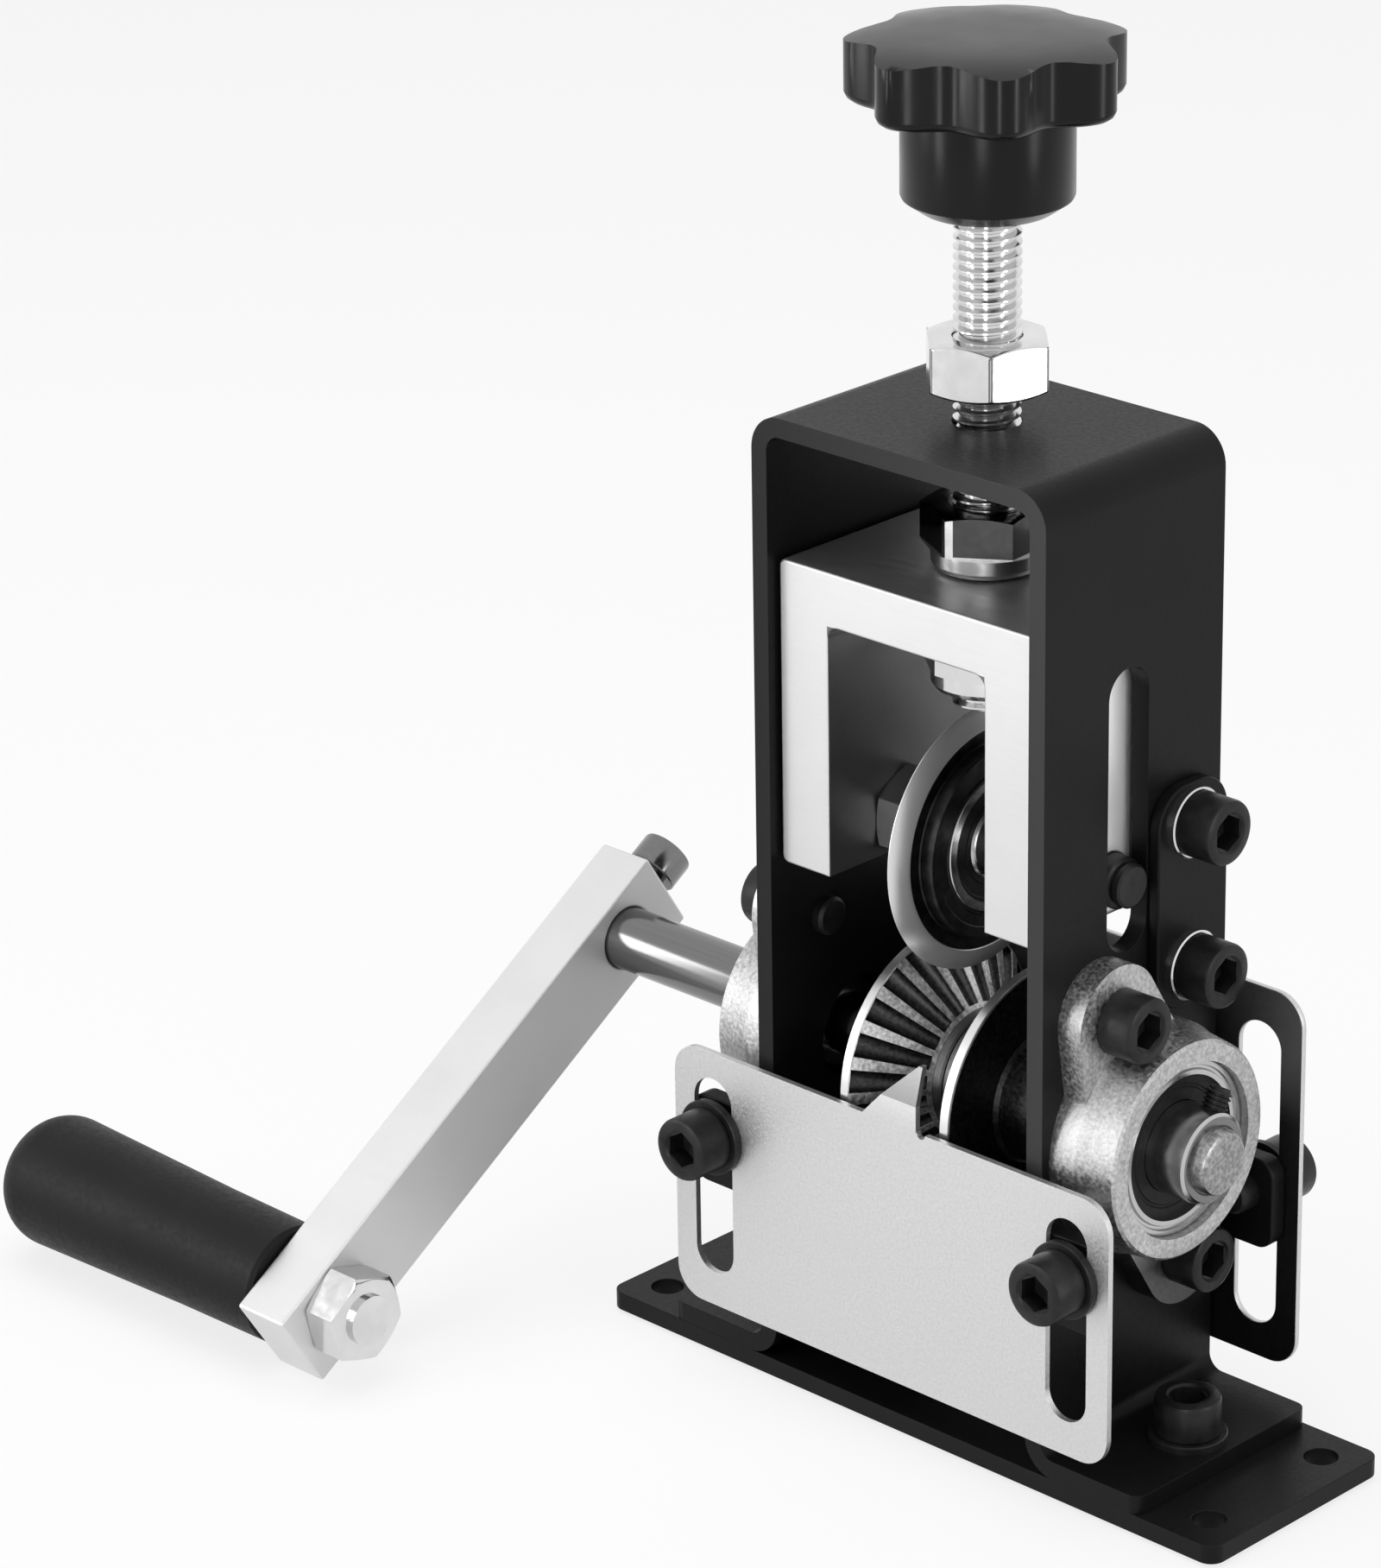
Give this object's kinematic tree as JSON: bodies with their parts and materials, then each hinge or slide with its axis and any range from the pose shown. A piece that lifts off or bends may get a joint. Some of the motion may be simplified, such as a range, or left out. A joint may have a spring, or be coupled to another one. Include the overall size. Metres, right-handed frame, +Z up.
{
  "type": "cable stripper",
  "caption": "Hand crank wire stripper: a slotted steel bridge holds geared feed rollers on a crank shaft and a cutting wheel set by a star knob.",
  "frame": {"origin": "middle of the base plate's underside, the centre of its four mounting holes", "axes": "+X along the drive shaft away from the crank, +Y away from the side where the cable enters, +Z up along the spindle"},
  "size_m": [0.2079, 0.1054, 0.213],
  "materials": {
    "powder_black": "satin black powder coat",
    "black_oxide": "black oxide",
    "chrome_steel": "bright plated",
    "bearing_steel": "ground bearing steel",
    "shaft_steel": "drawn steel bar",
    "blade_steel": "hardened tool steel, ground edge",
    "satin_aluminium": "satin anodised",
    "sheet_steel": "satin zinc plated sheet",
    "cast_zinc": "rough grey casting",
    "gloss_black": "glossy black plastic",
    "grip_black": "matte black plastic",
    "seal_black": "black rubber",
    "white_nylon": "nylon"
  },
  "bodies": {
    "root": {"base_plate": "powder_black", "frame": "powder_black", "guide_lugs": "powder_black", "foot_screws": "black_oxide", "foot_washers": "black_oxide", "left_bearing_housing": "cast_zinc", "right_bearing_housing": "cast_zinc", "left_outer_ring": "bearing_steel", "right_outer_ring": "bearing_steel", "shaft_seals": "seal_black", "bearing_screws": "black_oxide", "side_plate": "powder_black", "side_plate_screws": "black_oxide", "side_plate_washers": "chrome_steel", "front_guide_screws": "black_oxide", "front_guide_washers": "black_oxide", "rear_guide_screws": "black_oxide", "rear_guide_washers": "black_oxide"},
    "drive": {"drive_shaft": "shaft_steel", "left_roller": "cast_zinc", "right_roller": "cast_zinc", "roller_set_screws": "black_oxide", "left_inner_ring": "bearing_steel", "right_inner_ring": "bearing_steel", "collar_set_screws": "black_oxide", "crank_arm": "satin_aluminium", "crank_clamp_screw": "chrome_steel", "grip_bolt": "chrome_steel", "grip_nut": "chrome_steel"},
    "grip": {"grip": "grip_black"},
    "carrier": {"carrier": "satin_aluminium", "blade_axle": "black_oxide", "axle_nuts": "chrome_steel", "axle_spacers": "chrome_steel", "blade_bearing_inner": "bearing_steel"},
    "spindle": {"threaded_spindle": "chrome_steel", "star_knob": "gloss_black", "upper_nylock": "chrome_steel", "lower_nylock": "chrome_steel", "nylock_inserts": "white_nylon"},
    "lock_nut": {"lock_nut": "chrome_steel"},
    "blade": {"blade_wheel": "blade_steel", "blade_bearing_outer": "bearing_steel", "blade_bearing_seals": "seal_black"},
    "front_guide": {"front_guide_plate": "sheet_steel"},
    "rear_guide": {"rear_guide_plate": "sheet_steel"}
  },
  "joints": [
    {"name": "crank_turn", "type": "hinge", "parent": "root", "child": "drive", "pos_m": [0, 0, 0.0527], "axis": [1, 0, 0], "continuous": true},
    {"name": "grip_spin", "type": "hinge", "parent": "drive", "child": "grip", "pos_m": [-0.116, -0.06403, 0.01175], "axis": [1, 0, 0], "continuous": true},
    {"name": "carrier_lift", "type": "slide", "parent": "root", "child": "carrier", "axis": [0, 0, 1], "range_m": [-0.006, 0.009]},
    {"name": "spindle_turn", "type": "hinge", "parent": "carrier", "child": "spindle", "pos_m": [0, 0, 0.15], "axis": [0, 0, 1], "range_deg": [-1441, 2161]},
    {"name": "blade_spin", "type": "hinge", "parent": "carrier", "child": "blade", "pos_m": [0, -0.0009, 0.0917], "axis": [1, 0, 0], "continuous": true},
    {"name": "lock_nut_travel", "type": "slide", "parent": "root", "child": "lock_nut", "axis": [0, 0, 1], "range_m": [-0.0046, 0.012]},
    {"name": "front_guide_slide", "type": "slide", "parent": "root", "child": "front_guide", "axis": [0, 0, 1], "range_m": [-0.0055, 0.009]},
    {"name": "rear_guide_slide", "type": "slide", "parent": "root", "child": "rear_guide", "axis": [0, 0, 1], "range_m": [-0.009, 0.01]}
  ],
  "couplings": [
    {"joint": "spindle_turn", "follows": "carrier_lift", "rad_per_m": 4188.8}
  ]
}
